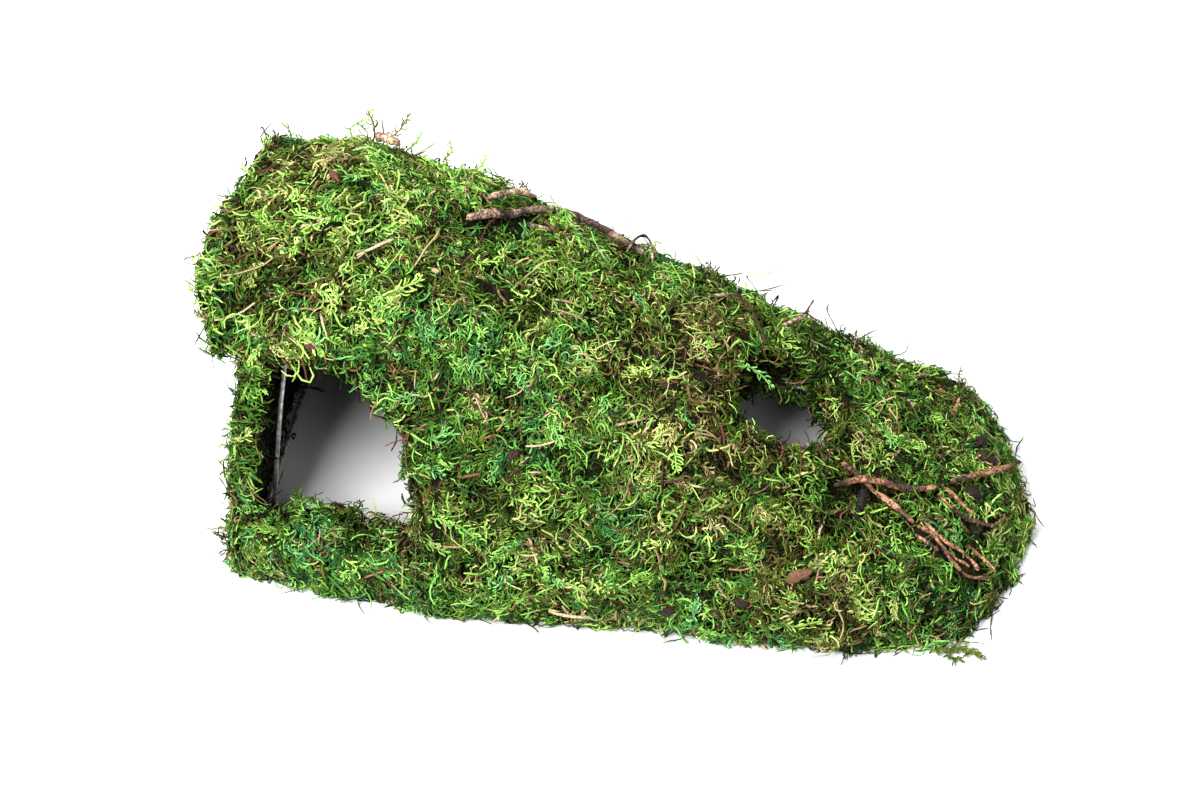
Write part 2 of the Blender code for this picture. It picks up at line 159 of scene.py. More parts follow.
def attribute(tree, name):
    node = tree.nodes.new("ShaderNodeAttribute")
    node.attribute_name = name
    return node.outputs["Fac"]


def texture(tree, scale, detail=4.0):
    """Noise over the object's own coordinates."""
    place = tree.nodes.new("ShaderNodeTexCoord")
    node = tree.nodes.new("ShaderNodeTexNoise")
    node.inputs["Scale"].default_value = scale
    node.inputs["Detail"].default_value = detail
    tree.links.new(place.outputs["Object"], node.inputs["Vector"])
    return node.outputs["Fac"]


def mix(tree, kind, factor, first, second):
    """Mixes two colour sockets. factor is a socket or a number."""
    node = tree.nodes.new("ShaderNodeMix")
    node.data_type = "RGBA"
    node.blend_type = kind
    if isinstance(factor, bpy.types.NodeSocket):
        tree.links.new(factor, node.inputs[0])
    else:
        node.inputs[0].default_value = factor
    tree.links.new(first, node.inputs[6])
    tree.links.new(second, node.inputs[7])
    return node.outputs[2]


def multiply(tree, first, second):
    return mix(tree, "MULTIPLY", 1.0, first, second)


# Colours of the shoots by hue, from teal through green, lime and olive to brown and straw: in the
# depth of the moss, in its middle, and at its brightest.
HUES = (0.0, 0.2, 0.42, 0.62, 0.8, 1.0)
SHADE = ((0.002, 0.012, 0.002), (0.004, 0.013, 0.001), (0.007, 0.012, 0.001), (0.009, 0.008, 0.001),
         (0.009, 0.005, 0.002), (0.04, 0.02, 0.012))
BODY = ((0.042, 0.19, 0.054), (0.064, 0.21, 0.024), (0.106, 0.215, 0.022), (0.13, 0.14, 0.028),
        (0.125, 0.08, 0.034), (0.26, 0.155, 0.085))
LIGHT = ((0.26, 0.7, 0.25), (0.35, 0.78, 0.15), (0.52, 0.88, 0.2), (0.6, 0.64, 0.25),
         (0.56, 0.43, 0.24), (0.8, 0.64, 0.42))
# Shoots are darker at the root and lighter at the tip: partly their own colour, partly painted shade
# down at the roots and painted light at the tips.
ROOT_TO_TIP = ((0.0, (0.27, 0.25, 0.22)), (0.5, (1, 1, 1)), (1.0, (1.4, 1.3, 1.1)))


def by_hue(tree, colours):
    return ramp(tree, attribute(tree, "hue"), tuple(zip(HUES, colours)))


def shoot_material(slot):
    """Moss shoots: hue picks the kind of moss, tone runs from shade to light, roots are darker."""
    material, tree, shader = new_material(slot + "_shoots", roughness=0.6, specular=0.1)
    tone = attribute(tree, "tone")
    dull = ramp(tree, tone, ((0.0, (0, 0, 0)), (0.5, (1, 1, 1))))
    bright = ramp(tree, tone, ((0.5, (0, 0, 0)), (1.0, (1, 1, 1))))
    colour = mix(tree, "MIX", dull, by_hue(tree, SHADE), by_hue(tree, BODY))
    colour = mix(tree, "MIX", bright, colour, by_hue(tree, LIGHT))
    root = ramp(tree, attribute(tree, "tip"), ROOT_TO_TIP)
    colour = multiply(tree, colour, root)
    mottle = ramp(tree, texture(tree, 900), ((0.3, (0.75, 0.76, 0.72)), (0.7, (1.2, 1.17, 1.1))))
    colour = multiply(tree, colour, mottle)
    tree.links.new(colour, shader.inputs["Base Color"])
    return material


def mat_material(slot):
    """The dark mat under the shoots: soil, dead stems and painted shade."""
    material, tree, shader = new_material(slot + "_mat", roughness=0.95, specular=0.1)
    soil_and_shade = ramp(tree, texture(tree, 260), (
        (0.35, (0.005, 0.005, 0.002)), (0.55, (0.014, 0.014, 0.006)), (0.75, (0.03, 0.034, 0.012))))
    tree.links.new(soil_and_shade, shader.inputs["Base Color"])
    return material


# Colours of the litter by hue: charred, red-brown, orange-brown, tan and bleached straw.
LITTER = ((0.0, (0.01, 0.007, 0.006)), (0.25, (0.11, 0.038, 0.03)), (0.5, (0.26, 0.105, 0.045)),
          (0.75, (0.42, 0.26, 0.14)), (1.0, (0.72, 0.6, 0.42)))


def litter_material():
    """Dead stems, straws, bark and peat among the moss."""
    material, tree, shader = new_material("dry_litter", roughness=0.7, specular=0.25)
    base = ramp(tree, attribute(tree, "hue"), LITTER)
    tone = ramp(tree, attribute(tree, "tone"),
                ((0.0, (0.35, 0.33, 0.33)), (0.5, (1, 1, 1)), (1.0, (1.5, 1.5, 1.45))))
    fine = ramp(tree, texture(tree, 1300, 5), ((0.35, (0.55, 0.52, 0.5)), (0.65, (1.15, 1.12, 1.1))))
    colour = multiply(tree, multiply(tree, base, tone), fine)
    tree.links.new(colour, shader.inputs["Base Color"])
    return material


def bark_material(name, colours):
    """Dry bark in broad patches of colours, with dark grooves and pale rubbed places."""
    material, tree, shader = new_material(name, roughness=0.75, specular=0.25)
    broad = ramp(tree, texture(tree, 110, 3), tuple(zip(BARK_STOPS, colours)))
    fine = ramp(tree, texture(tree, 900, 6),
                ((0.4, (0.24, 0.21, 0.2)), (0.52, (0.95, 0.93, 0.92)), (0.66, (1.7, 1.65, 1.6))))
    tone = ramp(tree, attribute(tree, "tone"),
                ((0.0, (0.25, 0.21, 0.2)), (0.5, (1, 1, 1)), (1.0, (1.7, 1.7, 1.65))))
    colour = multiply(tree, multiply(tree, broad, fine), tone)
    tree.links.new(colour, shader.inputs["Base Color"])
    return material


VINE_COLOURS = ((0.06, 0.04, 0.032), (0.18, 0.12, 0.088),
                (0.33, 0.23, 0.17), (0.48, 0.32, 0.22))
TWIG_COLOURS = ((0.03, 0.02, 0.018), (0.11, 0.055, 0.036),
                (0.27, 0.128, 0.07), (0.43, 0.24, 0.145))
BARK_STOPS = (0.38, 0.46, 0.54, 0.63)


def wire_material():
    """Dull drawn steel with faint darker patches."""
    material, tree, shader = new_material("steel_wire_drawn", roughness=0.34, metallic=0.75)
    colour = ramp(tree, texture(tree, 400), ((0.35, (0.3, 0.295, 0.29)), (0.65, (0.8, 0.79, 0.78))))
    tree.links.new(colour, shader.inputs["Base Color"])
    return material


def thread_material():
    """Clear nylon: it takes the colour of the moss behind it, and shines a little. Its green tint paints
    in the moss seen through it.
    """
    material, tree, shader = new_material("nylon_thread_clear", roughness=0.15, specular=0.15)
    shader.inputs["Transmission Weight"].default_value = 0.97
    shader.inputs["IOR"].default_value = 1.1
    # The green tint is a painted colour of the moss seen through the thread.
    colour = ramp(tree, texture(tree, 300), ((0.3, (0.55, 0.64, 0.42)), (0.7, (0.82, 0.88, 0.7))))
    tree.links.new(colour, shader.inputs["Base Color"])
    return material


# Meshes


def link(name, mesh, material):
    """A new piece on the one body."""
    obj = bpy.data.objects.new(name, mesh)
    bpy.context.collection.objects.link(obj)
    mesh.materials.clear()
    mesh.materials.append(material)
    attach(obj, "root")
    return obj


def node_arrays(name):
    """A CAD node's vertices and triangles."""
    mesh = frame["nodes"][name].data
    mesh.calc_loop_triangles()
    verts = np.zeros(len(mesh.vertices) * 3, np.float32)
    mesh.vertices.foreach_get("co", verts)
    tris = np.zeros(len(mesh.loop_triangles) * 3, np.int32)
    mesh.loop_triangles.foreach_get("vertices", tris)
    return verts.reshape(-1, 3).astype(float), tris.reshape(-1, 3)


def raw_mesh(name, verts, quads, tris, values):
    """A smooth mesh from arrays, with point attributes given as {name: values}."""
    mesh = bpy.data.meshes.new(name)
    mesh.vertices.add(len(verts))
    mesh.vertices.foreach_set("co", verts.astype(np.float32).ravel())
    mesh.loops.add(quads.size + tris.size)
    corners = np.concatenate([quads.ravel(), tris.ravel()])
    mesh.loops.foreach_set("vertex_index", corners.astype(np.int32))
    mesh.polygons.add(len(quads) + len(tris))
    starts = np.concatenate([np.arange(len(quads)) * 4, quads.size + np.arange(len(tris)) * 3])
    mesh.polygons.foreach_set("loop_start", starts.astype(np.int32))
    mesh.update(calc_edges=True)
    mesh.shade_smooth()
    for key, value in values.items():
        data = mesh.attributes.new(key, "FLOAT", "POINT").data
        data.foreach_set("value", np.asarray(value, np.float32))
    return mesh


# No shoot lies lower than this over the ground.
GROUND_GAP = 0.3 * MM


class Strands:
    """Collects closed tapered tubes, and makes them into pieces."""

    SIDES = 3
    # How far both end points reach past the last rings, as a share of the width there.
    ROOT_POINT, TIP_POINT = 0.4, 0.6

    def __init__(self):
        self.verts, self.quads, self.tris = [], [], []
        self.values = {"tone": [], "hue": [], "tip": []}
        self.count = 0

    def add(self, paths, ups, widths, tone, hue, flat=0.6):
        """paths is (tube, ring, 3), widths has one entry a ring, ups, tone and hue one a tube."""
        tubes, rings = paths.shape[:2]
        along = unit(np.gradient(paths, axis=1))
        side = unit(np.cross(ups[:, None], along))
        up = np.cross(along, side)
        turns = 2 * math.pi * np.arange(self.SIDES) / self.SIDES
        offset = (np.cos(turns)[:, None] * side[:, :, None, :]
                  + flat * np.sin(turns)[:, None] * up[:, :, None, :])
        body = paths[:, :, None, :] + offset * (widths / 2)[:, :, None, None]
        first = paths[:, 0] - along[:, 0] * widths[:, :1] * self.ROOT_POINT
        last = paths[:, -1] + along[:, -1] * widths[:, -1:] * self.TIP_POINT
        block = np.concatenate([body.reshape(tubes, -1, 3), first[:, None], last[:, None]], axis=1)
        block[..., 2] = np.maximum(block[..., 2], GROUND_GAP)

        ring = np.arange(self.SIDES)
        turn = (ring + 1) % self.SIDES
        low = (np.arange(rings - 1) * self.SIDES)[:, None]
        high = low + self.SIDES
        quads = np.stack([low + ring, low + turn, high + turn, high + ring], axis=-1)
        top = (rings - 1) * self.SIDES
        start, end = rings * self.SIDES, rings * self.SIDES + 1
        tris = np.concatenate([
            np.stack([np.full(self.SIDES, start), turn, ring], axis=-1),
            np.stack([np.full(self.SIDES, end), top + ring, top + turn], axis=-1)])
        base = self.count + np.arange(tubes)[:, None, None] * (end + 1)
        self.quads.append((quads.reshape(1, -1, 4) + base).reshape(-1, 4))
        self.tris.append((tris[None] + base).reshape(-1, 3))
        self.verts.append(block.reshape(-1, 3))
        tip = np.concatenate([np.repeat(np.linspace(0, 1, rings), self.SIDES), [0, 1]])
        self.values["tip"].append(np.tile(tip, tubes))
        self.values["tone"].append(np.repeat(tone, end + 1))
        self.values["hue"].append(np.repeat(hue, end + 1))
        self.count += tubes * (end + 1)

    def piece(self, name, material, slot):
        values = {key: np.concatenate(value) for key, value in self.values.items()}
        mesh = raw_mesh(name, np.concatenate(self.verts), np.concatenate(self.quads),
                        np.concatenate(self.tris), values)
        link(name, mesh, material)


# Where the moss grows


def node_tree(names):
    """CAD nodes in one tree for ray casts, and the place in names of each triangle's node."""
    verts, tris, owners, count = [], [], [], 0
    for number, name in enumerate(names):
        v, t = node_arrays(name)
        verts.append(v)
        tris.append(t + count)
        owners.append(np.full(len(t), number))
        count += len(v)
    tree = BVHTree.FromPolygons(np.concatenate(verts).tolist(), np.concatenate(tris).tolist())
    return tree, np.concatenate(owners)


# The moss pads, and what moss keeps clear of: vine, twigs and bare wires.
TREE, OWNERS = node_tree(PADS)
BARE, _ = node_tree(WOOD + [name for name in WIRES if name != RING])
# The cave's middle line, from the tall end to the nose, and its height over the ground.
AXIS_REACH = (-110 * MM, 90 * MM)
AXIS_HEIGHT = 25 * MM
# Past this the faces that look towards the nose are inside faces.
TALL_END = -135 * MM
# From here on, in millimetres, places on the surface are found from a lower middle line.
NOSE_START, NOSE_HEIGHT = 125, 5 * MM
# A face is an inside face for shoots, and for the larger sprays, from these cosines on.
INSIDE, SPRAY_INSIDE = 0.6, 0.5
# No moss on faces that look down at the ground from lower than this.
REST_HEIGHT = 1 * MM
# Moss needs this much free space over the surface. Rays for it start a little over the surface.
FREE_SPACE, RAY_GAP = 3 * MM, 0.15 * MM
FIRST_PAD_SEED, LITTER_SEED, SPRIG_SEED = 100, 31, 32


def bare(points, reach):
    """Which points lie within reach millimetres of vine, twigs or bare wires."""
    near = [BARE.find_nearest(Vector(point), reach * MM)[0] is not None for point in points]
    return np.array(near, bool)


def surface(x, angle):
    """Point and normal on the outside at x millimetres, angle degrees from the top to the back."""
    turn = math.radians(angle)
    way = Vector((0, math.sin(turn), math.cos(turn)))
    middle = Vector((x * MM, 0, AXIS_HEIGHT if x < NOSE_START else NOSE_HEIGHT))
    point, normal, _, _ = TREE.ray_cast(middle + way * 0.3, -way)
    return point, normal


def scatter(name, density, rng):
    """Random points over a CAD pad's faces, with their normals."""
    verts, tris = node_arrays(name)
    corners = verts[tris]
    cross = np.cross(corners[:, 1] - corners[:, 0], corners[:, 2] - corners[:, 0])
    areas = np.linalg.norm(cross, axis=1) / 2
    count = int(density * areas.sum() / MM**2)
    chosen = rng.choice(len(tris), count, p=areas / areas.sum())
    u, v = rng.random((2, count))
    over = u + v > 1
    u[over], v[over] = 1 - u[over], 1 - v[over]
    a, b, c = np.moveaxis(corners[chosen], 1, 0)
    points = a + u[:, None] * (b - a) + v[:, None] * (c - a)
    return points, unit(cross[chosen])


def inward(points, normals):
    """How far a surface faces the cave's middle line: 1 on the inside, -1 on the outside.
    At the tall end, faces that look towards the nose count as inside too."""
    axis = np.stack([np.clip(points[:, 0], *AXIS_REACH), np.zeros(len(points)),
                     np.full(len(points), AXIS_HEIGHT)], axis=1)
    facing = (unit(axis - points) * normals).sum(axis=1)
    return np.where(points[:, 0] < TALL_END, np.maximum(facing, normals[:, 0]), facing)


def open_ground(name, density, rng):
    """Points of a pad where moss shows: outside and round the openings, and some on the inside."""
    points, normals = scatter(name, density, rng)
    facing = inward(points, normals)
    keep = np.where(facing > INSIDE, rng.random(len(points)) < INNER_SHARE, True)
    keep &= ~((normals[:, 2] < -0.8) & (points[:, 2] < REST_HEIGHT))
    index = np.flatnonzero(keep)
    clear = []
    for i in index:
        start = Vector(points[i] + normals[i] * RAY_GAP)
        hit = TREE.ray_cast(start, Vector(normals[i]), FREE_SPACE)
        clear.append(hit[0] is None)
    index = index[np.array(clear, bool)]
    index = index[~bare(points[index], BARE_REACH)]
    return points[index], normals[index], facing[index]


# The size in millimetres of patches where the shoots lie the same way.
HEADING_SIZE = 19
# The waves along a strand: their turns in radians from end to end, and the reach of their phase.
WAVE_TURNS, WAVE_PHASE = (5, 11), 6.3


def headings(points, normals, rng, spread=1.0, fall=0.5):
    """Directions along the surface: neighbours lie somewhat the same way, and hang on steep walls."""
    first = unit(np.cross(normals, [1.0, 0.13, 0.07]))
    second = np.cross(normals, first)
    angle = 4 * math.pi * noise(points, HEADING_SIZE, HEADING_LAYER) + rng.normal(0, spread, len(points))
    heading = np.cos(angle)[:, None] * first + np.sin(angle)[:, None] * second
    down = np.array([0, 0, -1.0]) + normals * normals[:, 2:3]
    return unit(heading + fall * down)


def curve_paths(points, normals, heading, length, curl, lift, rings, rng, rise, coil=1.0, sway=0.5):
    """Paths that start at points, turn by curl radians in the surface, arch by lift and end risen."""
    s = np.linspace(0, 1, rings)
    count = len(points)
    swing = rng.normal(0, sway, (count, 1))
    turns = s * rng.uniform(*WAVE_TURNS, (count, 1))
    wave = swing * np.sin(turns + rng.random((count, 1)) * WAVE_PHASE)
    angle = curl[:, None] * (s**coil - 0.3) + wave
    across = np.cross(normals, heading)
    step = length[:, None] / (rings - 1)
    start = np.zeros((count, 1))
    forward = np.concatenate([start, np.cumsum(np.cos(angle[:, :-1]) * step, axis=1)], axis=1)
    sideways = np.concatenate([start, np.cumsum(np.sin(angle[:, :-1]) * step, axis=1)], axis=1)
    height = lift[:, None] * np.sin(math.pi * s**0.8) + (rise * length)[:, None] * s**2
    return (points[:, None] + forward[..., None] * heading[:, None]
            + sideways[..., None] * across[:, None] + height[..., None] * normals[:, None])


def taper(rings, beads=0.0):
    """Width along a shoot: blunt ends, with alternate rings fuller to suggest tiny leaves."""
    s = np.linspace(0, 1, rings)
    width = np.sin(math.pi * (0.2 + 0.64 * s)) ** 0.6
    return width * (1 + beads * (-1.0) ** np.arange(rings))


# How each finish leans towards another hue and tone.
LEANS = {"moss_fresh": (0.0, 0.03), "moss_olive": (0.04, -0.01), "moss_brown": (0.06, -0.05),
         "moss_teal": (-0.07, 0.05)}
PAD_LEANS = np.array([LEANS[FINISHES[name]] for name in PADS])
# How far the finishes mix over the borders between pads, in millimetres.
BORDER = 8
# Hue: its middle, how much broad patches, small clumps and single shoots change it, and its top.
HUE_MIDDLE, HUE_PATCH, HUE_CLUMP, HUE_SHOOT, HUE_TOP = 0.355, 0.38, 0.4, 0.11, 0.78
HUE_PATCH_SIZE, HUE_CLUMP_SIZE = 38, 8
# Dead shoots: their usual share, how much more there are where their noise is high, and their hues.
DEAD_SHARE, DEAD_MORE, DEAD_LEVEL, DEAD_SIZE, DEAD_HUES = 0.11, 12, 0.68, 16, (0.66, 0.96)
# Tone: its middle, how much clumps and single shoots change it, how much the tufts change it with
# painted light on their tops and painted shade in the hollows between them, and how much painted shade
# dulls the inside.
TONE_MIDDLE, TONE_CLUMP, TUFT_LIGHT_AND_SHADE, TONE_SHOOT, INSIDE_PAINTED_SHADE = 0.38, 0.42, 0.6, 0.26, 0.35
TONE_CLUMP_SIZE = 6
# The moss is brighter by this much from here to the tall end, fully so after the fade.
BRIGHT_MORE, BRIGHT_END, BRIGHT_FADE = 0.03, -35 * MM, 55 * MM


def looks(points, normals, rng, bright=0.0, dry=0.0, dead_share=DEAD_SHARE):
    """Tone and hue of shoots: patches and small clumps of one kind of moss, mixed at pad borders.
    Shoots on the inside get painted shade, tuft tops get painted light and the hollows between tufts get
    painted shade, and the ones round the tall end are bright."""
    loose = points + rng.normal(0, BORDER * MM, points.shape)
    owners = OWNERS[[TREE.find_nearest(Vector(point))[2] for point in loose]]
    lean_hue, lean_tone = PAD_LEANS[owners].T
    count = len(points)
    hue = HUE_MIDDLE + dry + HUE_PATCH * (noise(points, HUE_PATCH_SIZE, HUE_LAYER) - 0.5)
    hue += HUE_CLUMP * (cells(points, HUE_CLUMP_SIZE, HUE_CELL_LAYER, rng) - 0.5) + lean_hue
    hue += rng.normal(0, HUE_SHOOT, count)
    more_dead = 1 + DEAD_MORE * np.clip(noise(points, DEAD_SIZE, DEAD_LAYER) - DEAD_LEVEL, 0, 1)
    dead = rng.random(count) < dead_share * more_dead
    hue = np.where(dead, rng.uniform(*DEAD_HUES, count), np.clip(hue, 0.0, HUE_TOP))
    tone = TONE_MIDDLE + TONE_CLUMP * (cells(points, TONE_CLUMP_SIZE, TONE_CELL_LAYER, rng) - 0.5)
    # Tufts stand higher: painted light on their tops and painted shade in the hollows between them.
    tone += TUFT_LIGHT_AND_SHADE * (noise(points, TUFT_SIZE, TUFT_LAYER) - 0.5)
    tone += rng.normal(0, TONE_SHOOT, count) + lean_tone + bright
    tone += BRIGHT_MORE * np.clip((BRIGHT_END - points[:, 0]) / BRIGHT_FADE, 0, 1)
    # Painted shade on faces that look into the cave.
    tone -= INSIDE_PAINTED_SHADE * np.clip(inward(points, normals) + 0.3, 0, 1)
    return np.clip(tone, 0, 1), hue


# Rings along a shoot, along the stem of a spray and along its side shoots.
SHOOT_RINGS, STEM_RINGS, PINNA_RINGS = 8, 12, 5
# Side shoots of a spray.
PINNAE = 16
# The shoots of a pad are split over this many pieces, so that none gets too large.
SHOOT_PIECES = 2
# Shoots in millimetres, as shape and scale of a gamma distribution: length, arch and width.
SHOOT_LENGTH, SHOOT_LIFT, SHOOT_WIDTH = (4.5, 1.55), (2.0, 0.65), (11, 0.074)
SHOOT_WIDTH_ENDS = (0.5, 1.5)
SHOOT_CURL = 1.75
# Wild shoots: their share, how much longer and more curled they are, and how steeply they stand.
WILD_SHARE, WILD_LONG, WILD_CURL, WILD_RISE = 0.05, 1.35, 1.5, (0.2, 0.6)


def add_shoots(strands, points, normals, rng, depth, bright=0.0, long=1.0, dry=0.0,
               dead_share=DEAD_SHARE):
    """Single curled shoots, each a few millimetres long. A few stand up wildly."""
    count = len(points)
    heading = headings(points, normals, rng)
    wild = rng.random(count) < WILD_SHARE
    length = rng.gamma(*SHOOT_LENGTH, count) * long * np.where(wild, WILD_LONG, 1) * MM
    curl = rng.normal(0, SHOOT_CURL, count) * np.where(wild, WILD_CURL, 1)
    lift = rng.gamma(*SHOOT_LIFT, count) * MM
    rise = np.where(wild, rng.uniform(*WILD_RISE, count), rng.normal(0.08, 0.16, count))
    base = lifted(points, normals, -depth) - heading * (length * 0.3)[:, None]
    paths = curve_paths(base, normals, heading, length, curl, lift, SHOOT_RINGS, rng, rise, coil=1.3)
    widths = rng.gamma(*SHOOT_WIDTH, count).clip(*SHOOT_WIDTH_ENDS)[:, None] * MM
    widths = widths * taper(SHOOT_RINGS, 0.2)
    widths = widths * rng.uniform(0.75, 1.25, widths.shape)
    tone, hue = looks(points, normals, rng, bright, dry, dead_share)
    strands.add(paths, normals, widths, tone, hue)


def add_sprays(strands, points, normals, heading, length, curl, rise, tone, hue, rng,
               pinnae=PINNAE, splay=0.8, spread=0.18):
    """Feathery sprays: a stem with rows of side shoots that curl forward and shorten to the tip."""
    count = len(points)
    lift = rng.uniform(0.4, 2.2, count) * MM
    stems = curve_paths(points, normals, heading, length, curl, lift, STEM_RINGS, rng, rise)
    stem_width = rng.uniform(0.7, 1.0, count)[:, None] * MM * taper(STEM_RINGS)
    strands.add(stems, normals, stem_width, tone * 0.85, hue, 0.9)

    along = unit(np.gradient(stems, axis=1))
    for j in range(pinnae):
        s = 0.08 + 0.88 * (j + 0.5) / pinnae
        place = s * (STEM_RINGS - 1)
        i = min(int(place), STEM_RINGS - 2)
        start = stems[:, i] + (place - i) * (stems[:, i + 1] - stems[:, i])
        forward = along[:, i]
        hand = 1 if j % 2 else -1
        across = unit(np.cross(normals, forward)) * hand
        open_angle = rng.normal(splay, 0.3, count)[:, None]
        out = unit(np.cos(open_angle) * forward + np.sin(open_angle) * across)
        share = spread * math.sin(math.pi * (0.18 + 0.75 * s)) + 0.06
        reach = length * share * rng.uniform(0.7, 1.3, count)
        bend = -hand * rng.normal(1.4, 0.8, count)
        arch = rng.uniform(-0.1, 0.25, count) * reach
        lean = rng.normal(0.05, 0.2, count)
        paths = curve_paths(start, normals, out, reach, bend, arch, PINNA_RINGS, rng, lean)
        widths = rng.normal(0.85, 0.15, count).clip(0.6, 1.3)[:, None] * MM * taper(PINNA_RINGS, 0.1)
        tones = np.clip(tone + rng.normal(0, 0.09, count), 0, 1)
        strands.add(paths, normals, widths, tones, hue)


def strew_sprays(strands, points, normals, rng, depth, bright=0.0):
    """Sprays lying over the surface at points."""
    count = len(points)
    heading = headings(points, normals, rng, spread=0.7)
    length = rng.uniform(9, 20, count) * MM
    base = lifted(points, normals, -depth) - heading * (length * 0.45)[:, None]
    tone, hue = looks(points, normals, rng, bright, dead_share=0.0)
    curl = rng.normal(0, 1.4, count)
    rise = rng.normal(0.06, 0.1, count)
    add_sprays(strands, base, normals, heading, length, curl, rise, tone, hue, rng)


# Pieces


# How far over a pad's surface its neighbours are looked for, and how close they then are.
PROBE_REACH, PROBE_CLOSE = 1.6 * MM, 0.3 * MM


def covered(points, normals, name):
    """Which points of a pad's surface lie against another pad."""
    found = []
    for point, normal in zip(points, normals):
        probe = Vector(point + normal * PROBE_REACH)
        place, face_normal, index, _ = TREE.find_nearest(probe)
        found.append(PADS[OWNERS[index]] != name and (probe - place).dot(face_normal) < PROBE_CLOSE)
    return np.array(found)


def mesh_points(mesh):
    """A mesh's vertices and their normals."""
    co = np.zeros(len(mesh.vertices) * 3, np.float32)
    mesh.vertices.foreach_get("co", co)
    normal = np.zeros(len(mesh.vertices) * 3, np.float32)
    mesh.vertex_normals.foreach_get("vector", normal)
    return co.reshape(-1, 3).astype(float), normal.reshape(-1, 3)


def shaped(name, mesh, modifiers):
    """A mesh welded and run through modifiers, given as (kind, {setting: value})."""
    work = bmesh.new()
    work.from_mesh(mesh)
    bmesh.ops.remove_doubles(work, verts=work.verts, dist=1e-6)
    work.to_mesh(mesh)
    work.free()
    block = bpy.data.objects.new(name + "_block", mesh)
    bpy.context.collection.objects.link(block)
    for kind, settings in modifiers:
        modifier = block.modifiers.new(kind, kind)
        for key, value in settings.items():
            setattr(modifier, key, value)
    graph = bpy.context.evaluated_depsgraph_get()
    result = bpy.data.meshes.new_from_object(block.evaluated_get(graph))
    bpy.data.objects.remove(block)
    return result


def stand_in(name, ending, mesh, co, material):
    """The piece that replaces a CAD node, with its points moved to co."""
    mesh.vertices.foreach_set("co", co.astype(np.float32).ravel())
    mesh.name = name + ending
    mesh.shade_smooth()
    piece = link(name + ending, mesh, material)
    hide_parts(name)


# The mat's own grain in millimetres, its depth under bare wood and wires, and its rise where it
# lies against another pad.
GRAIN_SIZE, GRAIN_HEIGHT = 3.2, 2.4
BARE_DEPTH, BORDER_RISE = 1.2, 0.8


def make_mat(name, material):
    """The lumpy dark mat that stands in for a CAD pad. It stays tight where pads touch."""
    verts, tris = node_arrays(name)
    block = raw_mesh(name + "_block", verts, np.zeros((0, 4), int), tris, {})
    mesh = shaped(name, block, (("REMESH", {"mode": "VOXEL", "voxel_size": MAT_VOXEL * MM}),
                                ("SMOOTH", {"iterations": 4})))
    co, normal = mesh_points(mesh)
    grain = (noise(co, GRAIN_SIZE, GRAIN_LAYER) - 0.5) * GRAIN_HEIGHT * MM
    move = lump(co) - MAT_DEPTH * MM + grain
    move = np.where(bare(co, BARE_REACH), np.minimum(move, -BARE_DEPTH * MM), move)
    move = np.where(covered(co, normal, name), BORDER_RISE * MM, move)
    co += normal * move[:, None]
    co[:, 2] = np.maximum(co[:, 2], 0)
    stand_in(name, "_mat", mesh, co, material)


RING_SEED, RING_DENSITY = 61, 1.8


def make_ring_moss(material):
    """Moss wound round the ring wire of the roof hole."""
    rng = np.random.default_rng(RING_SEED)
    points, normals = scatter(RING, RING_DENSITY, rng)
    strands = Strands()
    add_shoots(strands, points, normals, rng, depth=0.4, bright=-0.1, long=0.9)
    strands.piece("hole_ring_moss", material, "moss_olive")


def grow_moss(name, material, share, rng):
    """The undergrowth, the shoots and the sprays of one pad."""
    slot = FINISHES[name]
    undergrowth = Strands()
    points, normals, _ = open_ground(name, UNDER_DENSITY * share, rng)
    # The undergrowth is darkened as painted shade in the depth of the moss; the shoots and sprays over
    # it are a little lighter.
    add_shoots(undergrowth, points, normals, rng, depth=2.4, bright=-0.28, long=1.15, dry=0.14,
               dead_share=0.3)
    undergrowth.piece(name + "_undergrowth", material, slot)

    points, normals, facing = open_ground(name, SHOOT_DENSITY * share, rng)
    outside = np.flatnonzero(facing < INSIDE)
    for part, chosen in enumerate(np.array_split(outside, SHOOT_PIECES), 1):
        shoots = Strands()
        add_shoots(shoots, points[chosen], normals[chosen], rng, depth=1.0, bright=0.05)
        shoots.piece(f"{name}_shoots_{part}", material, slot)

    sprays = Strands()
    points, normals, facing = open_ground(name, SPRAY_DENSITY * share, rng)
    outside = facing < SPRAY_INSIDE
    strew_sprays(sprays, points[outside], normals[outside], rng, depth=0.4, bright=0.08)
    sprays.piece(name + "_sprays", material, slot)


def make_moss():
    share = 1.0
    shoot_materials = {slot: shoot_material(slot) for slot in LEANS}
    mat_materials = {slot: mat_material(slot) for slot in LEANS}
    for number, name in enumerate(PADS):
        slot = FINISHES[name]
        make_mat(name, mat_materials[slot])
        grow_moss(name, shoot_materials[slot], share, np.random.default_rng(FIRST_PAD_SEED + number))
    make_ring_moss(shoot_materials["moss_olive"])


def thickness(name):
    """Mean radius of a CAD rod in metres, from its volume and its surface."""
    verts, tris = node_arrays(name)
    a, b, c = np.moveaxis(verts[tris], 1, 0)
    volume = (a * np.cross(b, c)).sum() / 6
    return 2 * volume / (np.linalg.norm(np.cross(b - a, c - a), axis=1).sum() / 2)


# Knobs and ridges of the rods, as shares of their thickness, and their sizes in millimetres.
KNOB_SIZE, KNOB_LEVEL, KNOB_HEIGHT = 5, 0.36, 0.9
RIDGE_SIZE, RIDGE_HEIGHT = 1.5, 0.5
BARK_TONE_SIZE, BARK_TONE_CHANGE = 7, 1.2


